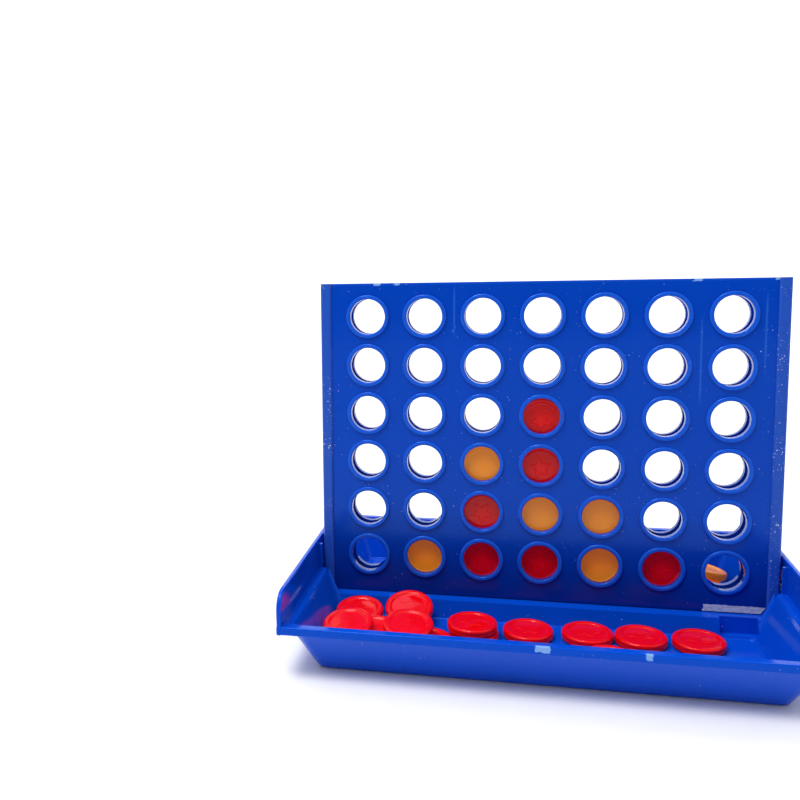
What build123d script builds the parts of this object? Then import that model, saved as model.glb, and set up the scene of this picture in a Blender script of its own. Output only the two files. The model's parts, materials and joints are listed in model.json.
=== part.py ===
"""Tabletop four-in-a-row game: a two-tray base, a lift-out board and two sets of discs.

Frame: +Z up, origin on the floor under the middle of the base. The board's long side runs along X and
the front tray, with the red discs, is towards -Y. The board is drawn upright in the plane Y = 0, then
tips back on its seat, because the tongue it plugs onto is thinner than its slot. Millimetres.
"""
from build123d import *
import os
from math import cos, radians, sin

os.makedirs("parts", exist_ok=True)

# Board grid
COLUMNS, ROWS = 7, 6
COLUMN_PITCH = 20.0
ROW_PITCH = 17.13
HOLE_RADIUS = 6.15
RING_RADIUS = 7.62
RING_HEIGHT = 0.7

# Levels above the floor
FLOOR_TOP = 1.8
GROOVE_TOP = 6.2
SEAT_TOP = 8.1
TONGUE_TOP = 13.0
RIM_UNDERSIDE = 14.35
RIM_TOP = 17.05
BAND_TOP = 27.5
GRID_CENTRE = 64.4
BOARD_TOP = 118.9

# Board
BOARD_HALF_WIDTH = 76.8
PANEL_HALF_WIDTH = 73.0
PANEL_FACE = 3.55
SLOT_HALF_DEPTH = 1.8
BOARD_HALF_DEPTH = PANEL_FACE + RING_HEIGHT
SLOT_HALF_WIDTH = 8.6
FOOT_HALF_WIDTH = 71.3
CORNER_TOP = 15.6
SLOT_MOUTH = BOARD_TOP - 0.5
LEAN = 3.0

# Base; for each tray: half-width, and the distances of its two long sides from Y = 0
RIM_HALF_WIDTH = 79.6
RIM_HALF_LENGTH = 57.4
RIM_ROUNDING = 0.5
BAND_THICKNESS = 1.5
BAND_CORNER = 6.0
HULL_TOP = (75.4, 57.0)
HULL_BOTTOM = (69.9, 48.0)
TRAY_FLOOR = (68.6, 9.3, 46.7)
TRAY_MOUTH = (75.2, 5.8, 54.8)
LEAD_IN = 1.8
TONGUE_HALF_DEPTH = 1.4
GROOVE_HALF_DEPTH = (4.6, 3.4)
RIB = (1.5, 1.2)

# Discs
DISC_RADIUS = 8.3
DISC_THICKNESS = 3.0
RECESS_RADIUS = 6.1
RECESS_DEPTH = 0.45
STACK_PITCH = 2 * DISC_RADIUS + 0.04
FLAT = FLOOR_TOP + DISC_THICKNESS / 2 + 0.02

COLUMN_X = [(i - (COLUMNS - 1) / 2) * COLUMN_PITCH for i in range(COLUMNS)]


def save(part, name):
    part.label = name
    export_step(part, f"parts/{name}.step")


# Base: one moulding -----------------------------------------------------------------------------


with BuildPart() as front_hollow:
    for height, (half_width, near, far) in ((FLOOR_TOP, TRAY_FLOOR), (RIM_TOP, TRAY_MOUTH)):
        with BuildSketch(Plane.XY.offset(height)):
            with Locations((0, -(near + far) / 2)):
                RectangleRounded(2 * half_width, far - near, 2)
    loft()
    fillet(front_hollow.edges().group_by(Axis.Z)[0], radius=0.6)
    # Lead-in at both ends, in two facets
    with BuildSketch(Plane.XZ.offset((TRAY_MOUTH[1] + TRAY_MOUTH[2]) / 2)):
        for side in (-1, 1):
            start, end = side * (TRAY_MOUTH[0] - 0.8), side * (TRAY_MOUTH[0] + 1.2)
            with BuildLine():
                Polyline(
                    (start, RIM_TOP - LEAD_IN), (side * (TRAY_MOUTH[0] - 0.1), RIM_TOP - 0.55),
                    (end, RIM_TOP), (start, RIM_TOP), close=True,
                )
            make_face()
    extrude(amount=(TRAY_MOUTH[2] - TRAY_MOUTH[1]) / 2 - 0.5, both=True)

# What the board takes up of the seat: its lower outline with cut-off corners, as deep as the seat
with BuildPart() as pocket:
    with BuildSketch(Plane.XZ):
        with BuildLine():
            Polyline(
                (-FOOT_HALF_WIDTH - 0.3, SEAT_TOP), (FOOT_HALF_WIDTH + 0.3, SEAT_TOP),
                (BOARD_HALF_WIDTH + 0.35, CORNER_TOP + 0.1), (BOARD_HALF_WIDTH + 0.35, RIM_TOP + 1),
                (-BOARD_HALF_WIDTH - 0.35, RIM_TOP + 1), (-BOARD_HALF_WIDTH - 0.35, CORNER_TOP + 0.1),
                close=True,
            )
        make_face()
    extrude(amount=TRAY_FLOOR[1], both=True)
    with BuildSketch(Plane.YZ):
        with BuildLine():
            Polyline(
                (-8.3, SEAT_TOP - 1), (8.3, SEAT_TOP - 1), (6.0, RIM_TOP + 1), (-6.0, RIM_TOP + 1),
                close=True,
            )
        make_face()
    extrude(amount=RIM_HALF_WIDTH, both=True, mode=Mode.INTERSECT)

# Band standing on the end of the rim, with rounded upper corners
with BuildPart() as right_band:
    with BuildSketch(Plane.YZ.offset(RIM_HALF_WIDTH - BAND_THICKNESS)) as band_outline:
        with Locations((0, (RIM_UNDERSIDE + BAND_TOP) / 2)):
            Rectangle(2 * RIM_HALF_LENGTH, BAND_TOP - RIM_UNDERSIDE)
        fillet(band_outline.vertices().group_by(Axis.Y)[-1], radius=BAND_CORNER)
    extrude(amount=BAND_THICKNESS)
    band_edges = right_band.edges().group_by(Axis.X)
    fillet(band_edges[0] + band_edges[-1], radius=RIM_ROUNDING)

with BuildPart() as base:
    # Sloping outside of the hull
    with BuildSketch(Plane.XY):
        RectangleRounded(2 * HULL_BOTTOM[0], 2 * HULL_BOTTOM[1], 4)
    with BuildSketch(Plane.XY.offset(RIM_UNDERSIDE)):
        RectangleRounded(2 * HULL_TOP[0], 2 * HULL_TOP[1], 5)
    loft()
    fillet(base.edges().group_by(Axis.Z)[0], radius=1.5)
    # Seat ends, which stand out under the rim to hold the board's cut-off corners
    with BuildSketch(Plane.XZ):
        for side in (-1, 1):
            with BuildLine():
                Polyline(
                    (side * HULL_BOTTOM[0], GROOVE_TOP), (side * (FOOT_HALF_WIDTH + 2.7), GROOVE_TOP),
                    (side * (RIM_HALF_WIDTH - 1), RIM_UNDERSIDE), (side * HULL_BOTTOM[0], RIM_UNDERSIDE),
                    close=True,
                )
            make_face()
    extrude(amount=TRAY_FLOOR[1] - 1.5, both=True)
    # Rim all round
    with BuildSketch(Plane.XY.offset(RIM_UNDERSIDE)):
        Rectangle(2 * RIM_HALF_WIDTH, 2 * RIM_HALF_LENGTH)
    extrude(amount=RIM_TOP - RIM_UNDERSIDE)
    fillet([edge for edge in base.edges().filter_by(Axis.X)
            if abs(abs(edge.center().Y) - RIM_HALF_LENGTH) < 0.01], radius=RIM_ROUNDING)
    # The two trays, and the seat left between them
    add(front_hollow.part, mode=Mode.SUBTRACT)
    add(mirror(front_hollow.part, Plane.XZ), mode=Mode.SUBTRACT)
    add(pocket.part, mode=Mode.SUBTRACT)
    # Tongue that enters the board from below and carries the lowest discs
    with BuildSketch(Plane.XY.offset(SEAT_TOP - 0.5)):
        Rectangle(2 * (COLUMN_X[-1] + SLOT_HALF_WIDTH - 0.2), 2 * TONGUE_HALF_DEPTH)
    extrude(amount=TONGUE_TOP - SEAT_TOP + 0.5)
    # Groove under the seat, which parts the undersides of the two trays
    with BuildSketch(Plane.YZ):
        with BuildLine():
            Polyline(
                (-GROOVE_HALF_DEPTH[0], 0), (-GROOVE_HALF_DEPTH[1], GROOVE_TOP),
                (GROOVE_HALF_DEPTH[1], GROOVE_TOP), (GROOVE_HALF_DEPTH[0], 0), close=True,
            )
        make_face()
    extrude(amount=HULL_TOP[0], both=True, mode=Mode.SUBTRACT)
    # Finger recess in the seat's front wall, near the right end
    with Locations((63.8, -8.2, (SEAT_TOP + 2.4) / 2)):
        Box(11.8, 4.0, SEAT_TOP - 2.4, mode=Mode.SUBTRACT)

    # End bands
    add(right_band.part)
    add(mirror(right_band.part, Plane.YZ))
    # Upright ribs that hold the board's side rails
    rib_x = RIM_HALF_WIDTH - BAND_THICKNESS - RIB[0] / 2 + 0.1
    rib_y = 5.95
    rib_top = BAND_TOP - 1.5
    with Locations([(sx * rib_x, sy * rib_y, (RIM_TOP + rib_top) / 2 - 0.25)
                    for sx in (-1, 1) for sy in (-1, 1)]):
        Box(RIB[0], RIB[1], rib_top - RIM_TOP + 0.5)
save(base.part, "base")

# Board: two panels, two side rails and the dividers between the columns --------------------------

# From the upright drawing to the seated pose: tipped back, its lowest edge just clear of the seat
board_rise = PANEL_FACE * sin(radians(LEAN)) + 0.02
SEATED = Location((0, 0, SEAT_TOP + board_rise), (-LEAN, 0, 0)) * Location((0, 0, -SEAT_TOP))

with BuildPart() as ring:
    with BuildSketch(Plane.XZ.offset(PANEL_FACE - 0.3)):
        Circle(RING_RADIUS)
        Circle(HOLE_RADIUS, mode=Mode.SUBTRACT)
    extrude(amount=RING_HEIGHT + 0.3)
    crest = ring.faces().sort_by(Axis.Y)[0]
    fillet(crest.edges(), radius=0.5)

with BuildPart() as front_panel:
    with BuildSketch(Plane.XZ.offset(SLOT_HALF_DEPTH)):
        foot_corner = SEAT_TOP + (CORNER_TOP - SEAT_TOP) * (
            (PANEL_HALF_WIDTH - FOOT_HALF_WIDTH) / (BOARD_HALF_WIDTH - FOOT_HALF_WIDTH))
        with BuildLine():
            Polyline(
                (-FOOT_HALF_WIDTH, SEAT_TOP), (FOOT_HALF_WIDTH, SEAT_TOP),
                (PANEL_HALF_WIDTH, foot_corner), (PANEL_HALF_WIDTH, BOARD_TOP),
                (-PANEL_HALF_WIDTH, BOARD_TOP), (-PANEL_HALF_WIDTH, foot_corner), close=True,
            )
        make_face()
        with Locations((0, GRID_CENTRE)):
            with GridLocations(COLUMN_PITCH, ROW_PITCH, COLUMNS, ROWS):
                Circle(HOLE_RADIUS, mode=Mode.SUBTRACT)
    extrude(amount=PANEL_FACE - SLOT_HALF_DEPTH)
    with Locations(Plane.XZ.offset(0)):
        with Locations((0, GRID_CENTRE)):
            with GridLocations(COLUMN_PITCH, ROW_PITCH, COLUMNS, ROWS):
                add(ring.part.moved(Location(Plane.XZ).inverse()))
save(front_panel.part.moved(SEATED), "front_panel")

with BuildPart() as rear_panel:
    add(mirror(front_panel.part, Plane.XZ))
save(rear_panel.part.moved(SEATED), "rear_panel")

for side, name in ((-1, "left_side_rail"), (1, "right_side_rail")):
    with BuildPart() as rail:
        with BuildSketch(Plane.XZ.offset(-BOARD_HALF_DEPTH)):
            with BuildLine():
                Polyline(
                    (side * PANEL_HALF_WIDTH, foot_corner), (side * BOARD_HALF_WIDTH, CORNER_TOP),
                    (side * BOARD_HALF_WIDTH, BOARD_TOP), (side * PANEL_HALF_WIDTH, BOARD_TOP),
                    close=True,
                )
            make_face()
        extrude(amount=2 * BOARD_HALF_DEPTH)
        fillet(rail.edges().filter_by(Axis.Z), radius=0.8)
        # Tongue between the panels, which is the outer wall of the end column
        slot_side = COLUMN_X[-1] + SLOT_HALF_WIDTH
        with BuildSketch(Plane.XZ.offset(-SLOT_HALF_DEPTH)):
            with BuildLine():
                Polyline(
                    (side * slot_side, SEAT_TOP), (side * FOOT_HALF_WIDTH, SEAT_TOP),
                    (side * (PANEL_HALF_WIDTH + 0.5), foot_corner + 0.7),
                    (side * (PANEL_HALF_WIDTH + 0.5), SLOT_MOUTH), (side * slot_side, SLOT_MOUTH),
                    close=True,
                )
            make_face()
        extrude(amount=2 * SLOT_HALF_DEPTH)
    save(rail.part.moved(SEATED), name)

divider_bottom = TONGUE_TOP + 0.3
for number in range(1, COLUMNS):
    with BuildPart() as divider:
        between = (COLUMN_X[number - 1] + COLUMN_X[number]) / 2
        with Locations((between, 0, (divider_bottom + SLOT_MOUTH) / 2)):
            Box(COLUMN_PITCH - 2 * SLOT_HALF_WIDTH, 2 * SLOT_HALF_DEPTH, SLOT_MOUTH - divider_bottom)
    save(divider.part.moved(SEATED), f"divider_{number}")

# Discs ------------------------------------------------------------------------------------------


def make_disc(name, centre, lean=(0, 0, 1)):
    """A flat counter with a raised edge on both faces; lean is the direction its face looks."""
    with BuildPart(Plane(origin=centre, z_dir=lean)) as disc:
        Cylinder(DISC_RADIUS, DISC_THICKNESS)
        fillet(disc.edges(), radius=0.7)
        with Locations((0, 0, DISC_THICKNESS / 2), (0, 0, -DISC_THICKNESS / 2)):
            Cylinder(RECESS_RADIUS, 2 * RECESS_DEPTH, mode=Mode.SUBTRACT)
    save(disc.part, name)


# Discs played into the board, from the bottom of each column up
PLAYED = {
    1: ["yellow"],
    2: ["red", "red", "yellow"],
    3: ["red", "yellow", "red", "red"],
    4: ["yellow", "yellow"],
    5: ["red"],
}
board_normal = (0, cos(radians(LEAN)), -sin(radians(LEAN)))
for column, colours in PLAYED.items():
    for row, colour in enumerate(colours):
        in_slot = Location((COLUMN_X[column], 0, TONGUE_TOP + DISC_RADIUS + row * STACK_PITCH))
        centre = (SEATED * in_slot).position
        make_disc(f"{colour}_played_c{column + 1}_r{row + 1}", centre, board_normal)

# Loose discs in the trays: x, y, height of the centre, tilt from flat, and the compass direction
# (degrees from +X towards +Y) that the tilted face looks in. Each disc comes after those below it.
ROW_Y = 17.6
SECOND = FLAT + DISC_THICKNESS + 0.06
FRONT, REAR_RIGHT = -90, 30
RED_PILE = [
    (-61.2, -16.9, 5.9, 10, FRONT),
    (-44.1, -14.9, 7.3, 19, FRONT),
    (-36.3, -30.7, FLAT, 0, FRONT),
    (-53.2, -31.9, 5.4, 12, FRONT),
    (-61.7, -34.8, 8.9, 12, FRONT - 10),
    (-42.1, -32.3, 8.8, 11, FRONT + 5),
]
RED_SINGLES = [
    (-21.6, -22.4, FLAT, 0, FRONT),
    (-22.0, -22.8, SECOND, 0, FRONT),
    (-3.8, -18.5, FLAT, 0, FRONT),
    (15.3, -ROW_Y, FLAT, 0, FRONT),
    (32.1, -ROW_Y, FLAT, 0, FRONT),
    (49.9, -ROW_Y, FLAT, 0, FRONT),
    (20.8, -34.4, FLAT, 0, FRONT),
    (2.0, -38.0, FLAT, 0, FRONT),
    (40.0, -37.8, FLAT, 0, FRONT),
]
YELLOW_STEP = 2 * DISC_RADIUS + 0.2
YELLOW_RIGHT = 58.8
YELLOW_LOOSE = [(YELLOW_RIGHT - YELLOW_STEP * i, ROW_Y, FLAT, 0, FRONT) for i in range(8)]
YELLOW_LOOSE += [(YELLOW_RIGHT - YELLOW_STEP * i, ROW_Y + YELLOW_STEP, FLAT, 0, FRONT)
                 for i in reversed(range(7))]
YELLOW_LOOSE += [(60.9, 34.7, 8.5, 14, REAR_RIGHT)]

for colour, loose in (("red", RED_PILE + RED_SINGLES), ("yellow", YELLOW_LOOSE)):
    for number, (x, y, height, tilt, compass) in enumerate(loose, start=1):
        level = sin(radians(tilt))
        face = (level * cos(radians(compass)), level * sin(radians(compass)), cos(radians(tilt)))
        make_disc(f"{colour}_tray_{number}", (x, y, height), face)
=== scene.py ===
"""Looks of the tabletop four-in-a-row set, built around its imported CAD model."""
import json
import random
from math import cos, pi, radians, sin

import bpy
import numpy as np
from mathutils import Matrix, Vector


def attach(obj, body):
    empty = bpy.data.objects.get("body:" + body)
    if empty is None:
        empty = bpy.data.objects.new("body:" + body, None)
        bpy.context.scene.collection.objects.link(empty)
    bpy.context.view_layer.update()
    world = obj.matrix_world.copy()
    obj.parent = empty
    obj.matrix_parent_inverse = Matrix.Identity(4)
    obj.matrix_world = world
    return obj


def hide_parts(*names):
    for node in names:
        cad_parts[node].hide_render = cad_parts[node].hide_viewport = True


MM = 0.001

# Light and floor: strengths, and the sweep's half-width, start, radius and height in metres
WORLD_STRENGTH, KEY_POWER, WALL_POWER = 0.85, 3.6, 14.0
SWEEP_HALF_WIDTH, SWEEP_START, SWEEP_RADIUS, SWEEP_TOP = 4.0, 0.9, 0.7, 4.0
BELOW_PART = 0.1 * MM

# The board's upright drawing, and how far it leans back on its seat
LEAN = radians(3.0)
PANEL_FACE = 3.55 * MM
SEAT_TOP = 8.1 * MM
BOARD_TOP = 118.9 * MM
BOARD_RISE = PANEL_FACE * sin(LEAN) + 0.02 * MM
BOARD_HEIGHT = BOARD_TOP - SEAT_TOP

# Colours of the blue plastic: scuffed and with a painted sheen on the ring crests and a painted
# highlight on the top edge, nicked, in painted shade at the foot, or glossy
SCUFF_AND_SHEEN = (0.012, 0.13, 0.80, 1)
NICK, RIM_NICK = (0.24, 0.45, 0.85, 1), (0.3, 0.55, 0.95, 1)
FOOT_SHADE = (0.001, 0.008, 0.12, 1)
STREAK = (0.05, 0.22, 0.75, 1)
SILVER_DARK, SILVER_LIGHT = (0.18, 0.2, 0.3, 1), (0.85, 0.88, 0.95, 1)
DUST = (0.62, 0.68, 0.85, 1)
BLUE_GLEAM = (0.22, 0.45, 1.0)
GLOW_STRENGTH = 0.12

# Marks in mm: stretches along X of the gate nicks on the board's top and on the rim's front, the
# silver strip, and the upright flow streaks (place along X, lowest and highest level)
TOP_NICKS = ((-57.5, -55.5), (-50.4, -48.7), (47.6, 50.0), (72.2, 73.2))
RIM_NICKS = ((-1.9, 1.9), (28.4, 29.8))
SILVER_STRIP = (53.6, 74.0)
STREAKS = ((50.3, 82.0, 102.0), (-29.7, 104.0, 114.0), (69.6, 94.0, 110.0))

# Discs, in mm: levels as (distance from the middle, height), from the middle out
SEGMENTS = 80
STAR_POINT, STAR_NOTCH = 4.5, 2.1
FACE_LEVEL = 1.07
STAR_OUTLINE = ((0.25, 1.07), (0.76, 1.07), (0.80, 1.19), (0.86, 1.19), (0.91, 1.07))
SMOOTH_FACE = ((1.2, 1.11), (2.6, 1.1), (4.2, 1.08))
RAISED_EDGE = ((5.2, 1.06), (5.85, 1.06), (6.05, 1.1), (6.25, 1.3), (6.45, 1.44), (6.75, 1.5),
               (7.3, 1.49), (7.7, 1.42), (8.0, 1.24), (8.17, 0.98), (8.24, 0.6), (8.26, 0.14),
               (8.19, 0.05))

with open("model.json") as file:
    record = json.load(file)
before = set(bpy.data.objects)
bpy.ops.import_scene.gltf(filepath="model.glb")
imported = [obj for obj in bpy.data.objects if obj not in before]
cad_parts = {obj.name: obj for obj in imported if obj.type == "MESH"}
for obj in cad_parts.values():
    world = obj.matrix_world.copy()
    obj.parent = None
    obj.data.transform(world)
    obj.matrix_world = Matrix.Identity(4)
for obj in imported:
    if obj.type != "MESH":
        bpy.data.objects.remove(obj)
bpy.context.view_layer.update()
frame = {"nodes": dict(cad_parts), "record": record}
random.seed(7)


# Camera, light and floor -------------------------------------------------------------------------

def camera():
    data = bpy.data.cameras.new("camera")
    data.sensor_width = 36.0
    data.lens = 38.583
    data.shift_x = 0.0842
    data.shift_y = -0.0174
    data.clip_start = 0.01
    eye = Vector((-0.00678, -0.29581, 0.13122))
    look = Vector((-0.21515, 0.96381, -0.15746)).normalized()
    up = Vector((-0.01092, 0.15885, 0.98725))
    right = look.cross(up).normalized()
    up = right.cross(look)
    obj = bpy.data.objects.new("camera", data)
    obj.matrix_world = Matrix((
        (right.x, up.x, -look.x, eye.x),
        (right.y, up.y, -look.y, eye.y),
        (right.z, up.z, -look.z, eye.z),
        (0, 0, 0, 1),
    ))
    bpy.context.scene.collection.objects.link(obj)
    bpy.context.scene.camera = obj


def area_light(name, place, target, size, power):
    data = bpy.data.lights.new(name, "AREA")
    data.shape = "RECTANGLE"
    data.size, data.size_y = size
    data.energy = power
    obj = bpy.data.objects.new(name, data)
    obj.location = place
    obj.rotation_euler = (Vector(target) - Vector(place)).to_track_quat("-Z", "Y").to_euler()
    bpy.context.scene.collection.objects.link(obj)


def surroundings():
    # Floor that sweeps up into a back wall, as a profile of (Y, Z)
    sweep = [(-SWEEP_HALF_WIDTH, 0.0), (SWEEP_START, 0.0)]
    sweep += [(SWEEP_START + SWEEP_RADIUS * sin(a), SWEEP_RADIUS - SWEEP_RADIUS * cos(a))
              for a in np.linspace(0.1, pi / 2, 14)]
    sweep.append((SWEEP_START + SWEEP_RADIUS, SWEEP_TOP))
    points = [(x, y, z - BELOW_PART) for y, z in sweep for x in (-SWEEP_HALF_WIDTH, SWEEP_HALF_WIDTH)]
    faces = [(2 * i, 2 * i + 1, 2 * i + 3, 2 * i + 2) for i in range(len(sweep) - 1)]
    paper = bpy.data.meshes.new("floor")
    paper.from_pydata(points, [], faces)
    paper.shade_smooth()
    floor = bpy.data.objects.new("floor", paper)
    bpy.context.scene.collection.objects.link(floor)
    paper.materials.append(surface("floor", (0.92, 0.915, 0.9), 0.6, mottle=0.01))
    # Dark flag behind the camera, seen only in reflections, which keeps the board deep in colour
    bpy.ops.mesh.primitive_plane_add(size=1, location=(0, -0.75, 0.45), rotation=(pi / 2, 0, 0))
    flag = bpy.context.object
    flag.name = "flag"
    flag.scale = (1.6, 0.7, 1)
    flag.visible_camera = False
    flag.data.materials.append(surface("flag", (0.02, 0.02, 0.025), 0.8, mottle=0.01))
    world = bpy.data.worlds.new("world")
    bpy.context.scene.world = world
    world.use_nodes = True
    back = world.node_tree.nodes["Background"]
    back.inputs["Color"].default_value = (0.97, 0.98, 1, 1)
    back.inputs["Strength"].default_value = WORLD_STRENGTH
    area_light("key", (-0.22, -0.2, 0.7), (0, 0, 0.03), (0.4, 0.25), KEY_POWER)
    area_light("wall", (0, 0.75, 1.3), (0, 1.5, 0.5), (2.0, 0.3), WALL_POWER)
    bpy.context.scene.view_settings.view_transform = "Standard"


# Materials ---------------------------------------------------------------------------------------

class Nodes:
    """A material's node tree, with a short way to add linked nodes."""

    def __init__(self, name):
        self.material = bpy.data.materials.new(name)
        self.material.use_nodes = True
        self.tree = self.material.node_tree
        self.shader = self.tree.nodes["Principled BSDF"]
        self.place = self.add("ShaderNodeTexCoord").outputs["Object"]

    def add(self, kind, inputs=None, **settings):
        node = self.tree.nodes.new(kind)
        for key, value in settings.items():
            setattr(node, key, value)
        for key, value in (inputs or {}).items():
            self.feed(node.inputs[key], value)
        return node

    def feed(self, socket, value):
        if isinstance(value, bpy.types.NodeSocket):
            self.tree.links.new(value, socket)
        else:
            socket.default_value = value

    def math(self, operation, a, b=0.0):
        return self.add("ShaderNodeMath", {0: a, 1: b}, operation=operation).outputs[0]

    def vector(self, operation, a, b):
        return self.add("ShaderNodeVectorMath", {0: a, 1: b}, operation=operation)

    def noise(self, scale, detail=3.0, stretch=None):
        place = self.place
        if stretch:
            place = self.vector("MULTIPLY", place, stretch).outputs[0]
        inputs = {"Vector": place, "Scale": scale, "Detail": detail}
        return self.add("ShaderNodeTexNoise", inputs).outputs["Fac"]

    def ramp(self, value, low, high, to=(0.0, 1.0)):
        return self.add("ShaderNodeMapRange", {
            "Value": value, "From Min": low, "From Max": high, "To Min": to[0], "To Max": to[1],
        }).outputs["Result"]

    def mix(self, factor, a, b):
        node = self.tree.nodes.new("ShaderNodeMix")
        node.data_type = "RGBA"
        colours = [s for s in node.inputs if s.type == "RGBA"]
        self.feed(node.inputs[0], factor)
        self.feed(colours[0], a)
        self.feed(colours[1], b)
        return [s for s in node.outputs if s.type == "RGBA"][0]

    def inside(self, value, low, high, soft):
        """One between low and high, nought outside, with soft sides."""
        rise, fall = self.ramp(value, low - soft, low), self.ramp(value, high + soft, high)
        return self.math("MULTIPLY", rise, fall)


def rgba(colour, factor=1.0):
    return (*(min(1.0, c * factor) for c in colour), 1.0)


def surface(name, colour, rough, mottle=0.08, dust=0.0, grain=0.0, grain_scale=2500.0, specular=0.5,
            gleam=(1, 1, 1), glow=None, marks_and_painted_light=None):
    """Moulded plastic: faint flow marks, fine grain, hairline scratches and white dust specks.

    gleam is the tint of its reflections, glow stands for light let through a thin disc, and the last
    argument is a function that paints marks over the base colour: nicks and scuffs, and on the front
    panel also painted shade, a painted sheen and a painted highlight.
    """
    n = Nodes(name)
    look = n.mix(n.noise(22.0), rgba(colour, 1 - mottle), rgba(colour, 1 + mottle))
    if dust:
        specks = n.ramp(n.noise(1700.0, 1.0), 0.80 - dust, 0.84 - dust)
        patches = n.ramp(n.noise(60.0, 2.0), 0.42, 0.62)
        look = n.mix(n.math("MULTIPLY", specks, patches), look, DUST)
    if marks_and_painted_light:
        look = marks_and_painted_light(n, look)
    n.feed(n.shader.inputs["Base Color"], look)
    n.shader.inputs["Specular Tint"].default_value = (*gleam, 1)
    if glow:
        n.shader.inputs["Emission Color"].default_value = (*glow, 1)
        n.shader.inputs["Emission Strength"].default_value = GLOW_STRENGTH
    handled = n.ramp(n.noise(140.0, 5.0), 0.3, 0.7, (rough * 0.85, rough * 1.2))
    n.feed(n.shader.inputs["Roughness"], handled)
    n.shader.inputs["Specular IOR Level"].default_value = specular
    fine = n.noise(grain_scale, 2.0)
    scratch = n.ramp(n.noise(260.0, 2.0, (1.0, 1.0, 0.06)), 0.66, 0.72)
    height = n.math("ADD", n.math("MULTIPLY", fine, grain), n.math("MULTIPLY", scratch, -0.04))
    bump = n.add("ShaderNodeBump", {"Height": height, "Strength": 0.6, "Distance": 0.0002})
    n.feed(n.shader.inputs["Normal"], bump.outputs["Normal"])
    return n.material


def board_coordinates(n):
    """Distance in front of the board's middle plane, height up the board, and place along it."""
    from_seat = n.vector("SUBTRACT", n.place, (0, 0, SEAT_TOP + BOARD_RISE)).outputs[0]
    out = n.vector("DOT_PRODUCT", from_seat, (0, -cos(LEAN), sin(LEAN))).outputs["Value"]
    up = n.vector("DOT_PRODUCT", from_seat, (0, sin(LEAN), cos(LEAN))).outputs["Value"]
    along = n.add("ShaderNodeSeparateXYZ", {0: n.place}).outputs["X"]
    return out, up, along


def ragged_noise(n, scale, reach):
    return n.math("MULTIPLY", n.math("SUBTRACT", n.noise(scale), 0.5), reach)


def base_wear(n, look):
    """Gate nicks on the front edge of the rim."""
    spot = n.add("ShaderNodeSeparateXYZ", {0: n.place})
    ragged = ragged_noise(n, 900.0, 1.6 * MM)
    along = n.math("ADD", spot.outputs["X"], ragged)
    front = n.math("MULTIPLY", n.ramp(spot.outputs["Y"], -56.6 * MM, -56.9 * MM),
                   n.ramp(n.math("ADD", spot.outputs["Z"], ragged), 15.1 * MM, 15.4 * MM))
    for low, high in RIM_NICKS:
        nick = n.math("MULTIPLY", n.inside(along, low * MM, high * MM, 0.3 * MM), front)
        look = n.mix(n.math("MULTIPLY", nick, 0.75), look, RIM_NICK)
    return look


def front_wear_and_painted_light(n, look):
    """A painted shade at the foot, scuffing and a painted sheen on the ring crests, a scuffed silver
    strip, and marks along the top with a painted highlight on the top edge.
    """
    out, up, along = board_coordinates(n)
    look = n.mix(n.ramp(up, 0.0, 30 * MM, (0.7, 0.0)), look, FOOT_SHADE)
    # Painted sheen with scuffing: the ring crests are lighter, partly for scuffs and partly standing
    # in for reflected light.
    crest_scuff_and_sheen = n.ramp(out, PANEL_FACE + 0.15 * MM, PANEL_FACE + 0.6 * MM, (0.0, 0.55))
    look = n.mix(crest_scuff_and_sheen, look, SCUFF_AND_SHEEN)
    ragged = ragged_noise(n, 700.0, 2.2 * MM)
    edge = n.math("ADD", along, n.math("MULTIPLY", ragged, 1.6))
    low, high = SILVER_STRIP
    strip_top = n.math("ADD", up, n.math("MULTIPLY", ragged, 0.35))
    strip = n.math("MULTIPLY", n.inside(edge, low * MM, high * MM, 0.15 * MM),
                   n.ramp(strip_top, 2.4 * MM, 2.2 * MM))
    silver = n.mix(n.noise(1500.0, 3.0, (0.5, 1.0, 1.0)), SILVER_DARK, SILVER_LIGHT)
    look = n.mix(strip, look, silver)
    top = n.ramp(n.math("ADD", up, n.math("MULTIPLY", ragged, 0.5)),
                 BOARD_HEIGHT - 0.9 * MM, BOARD_HEIGHT - 0.6 * MM)
    # Painted highlight: a lighter band along the top edge stands in for light reflected there.
    top_edge_highlight = n.ramp(up, BOARD_HEIGHT - 0.9 * MM, BOARD_HEIGHT - 0.2 * MM, (0.0, 0.45))
    look = n.mix(top_edge_highlight, look, SCUFF_AND_SHEEN)
    for low, high in TOP_NICKS:
        nick = n.math("MULTIPLY", n.inside(edge, low * MM, high * MM, 0.3 * MM), top)
        look = n.mix(nick, look, NICK)
    for place, low, high in STREAKS:
        streak = n.math("MULTIPLY", n.inside(along, place * MM, place * MM, 0.5 * MM),
                        n.inside(up, low * MM - SEAT_TOP, high * MM - SEAT_TOP, 5 * MM))
        look = n.mix(n.math("MULTIPLY", streak, 0.35), look, STREAK)
    return look


# Discs -------------------------------------------------------------------------------------------

def star_radius(angle):
    """Distance from the middle to the outline of a five-pointed star, in the direction angle."""
    half = pi / 5
    a = angle % (2 * half)
    a = min(a, 2 * half - a)
    px, py = STAR_POINT, 0.0
    qx, qy = STAR_NOTCH * cos(half), STAR_NOTCH * sin(half)
    return (px * qy - py * qx) / ((qy - py) * cos(a) - (qx - px) * sin(a))


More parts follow.
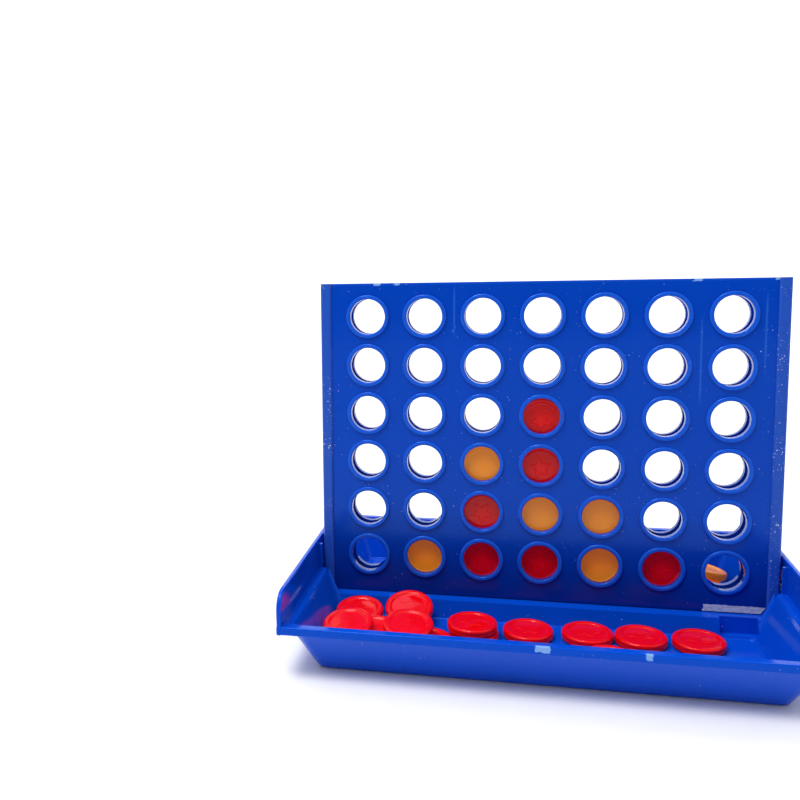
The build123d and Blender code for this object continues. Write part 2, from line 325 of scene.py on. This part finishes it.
def disc_mesh(name, star):
    """A counter: rounded rim with a parting line, recessed faces, and maybe a raised star outline."""
    angles = [2 * pi * i / SEGMENTS for i in range(SEGMENTS)]
    if star:
        face = [[(k * star_radius(a), z) for a in angles] for k, z in STAR_OUTLINE]
    else:
        face = [[(r, z)] * SEGMENTS for r, z in SMOOTH_FACE]
    face += [[(r, z)] * SEGMENTS for r, z in RAISED_EDGE]
    rings = [[(r * cos(a), r * sin(a), z) for (r, z), a in zip(ring, angles)] for ring in face]
    rings += [[(x, y, -z) for x, y, z in ring] for ring in reversed(rings)]
    points = [(0, 0, FACE_LEVEL)] + [p for ring in rings for p in ring] + [(0, 0, -FACE_LEVEL)]
    faces = []
    for i in range(SEGMENTS):
        j = (i + 1) % SEGMENTS
        faces.append((0, 1 + i, 1 + j))
        for r in range(len(rings) - 1):
            a, b = 1 + r * SEGMENTS, 1 + (r + 1) * SEGMENTS
            faces.append((a + i, b + i, b + j, a + j))
        last = 1 + (len(rings) - 1) * SEGMENTS
        faces.append((last + i, len(points) - 1, last + j))
    mesh = bpy.data.meshes.new(name)
    mesh.from_pydata([(x * MM, y * MM, z * MM) for x, y, z in points], [], faces)
    mesh.shade_smooth()
    mesh.set_sharp_from_angle(angle=radians(50))
    return mesh


def disc_pose(node):
    """Middle and axis of a CAD disc, from its vertices."""
    points = np.array([v.co for v in node.data.vertices])
    centre = (points.max(0) + points.min(0)) / 2
    axis = np.linalg.eigh(np.cov((points - centre).T))[1][:, 0]
    if axis[2] < -0.5 or axis[1] > 0.5:
        axis = -axis
    return Vector(centre), Vector(axis)


def dress_discs(finish):
    meshes = {"red": disc_mesh("red_disc", True), "yellow": disc_mesh("yellow_disc", False)}
    for name, node in frame["nodes"].items():
        colour = name.split("_")[0]
        if colour not in meshes:
            continue
        centre, axis = disc_pose(node)
        piece = bpy.data.objects.new("look_" + name, meshes[colour])
        turn = Matrix.Rotation(random.uniform(0, 2 * pi), 4, "Z")
        facing = axis.to_track_quat("Z", "Y").to_matrix().to_4x4()
        piece.matrix_world = Matrix.Translation(centre) @ facing @ turn
        bpy.context.scene.collection.objects.link(piece)
        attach(piece, name)
        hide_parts(name)
    for colour, mesh in meshes.items():
        mesh.materials.append(finish[colour + "_plastic"])


# The scene ---------------------------------------------------------------------------------------

camera()
surroundings()
finish = {
    "blue_plastic": surface("blue", (0.001, 0.07, 0.60), 0.12, dust=0.03, specular=0.3,
                            gleam=BLUE_GLEAM, marks_and_painted_light=base_wear),
    "front_blue": surface("front_blue", (0.001, 0.055, 0.50), 0.14, dust=0.05, specular=0.5,
                          gleam=BLUE_GLEAM, marks_and_painted_light=front_wear_and_painted_light),
    "rail_plastic": surface("rail", (0.012, 0.08, 0.50), 0.36, dust=0.12, grain=0.6,
                            grain_scale=1400.0, gleam=(0.5, 0.65, 1)),
    "red_plastic": surface("red", (0.90, 0.001, 0.004), 0.1, mottle=0.05, specular=0.5,
                           gleam=(1, 0.5, 0.5)),
    "yellow_plastic": surface("yellow", (1.0, 0.30, 0.012), 0.18, mottle=0.05, specular=0.4,
                              glow=(1.0, 0.26, 0.01)),
}
for sub in frame["record"]["subparts"]:
    node = frame["nodes"][sub["node"]]
    node.data.materials.clear()
    front = sub["node"] == "front_panel"
    node.data.materials.append(finish["front_blue" if front else sub["material_slot"]])
dress_discs(finish)
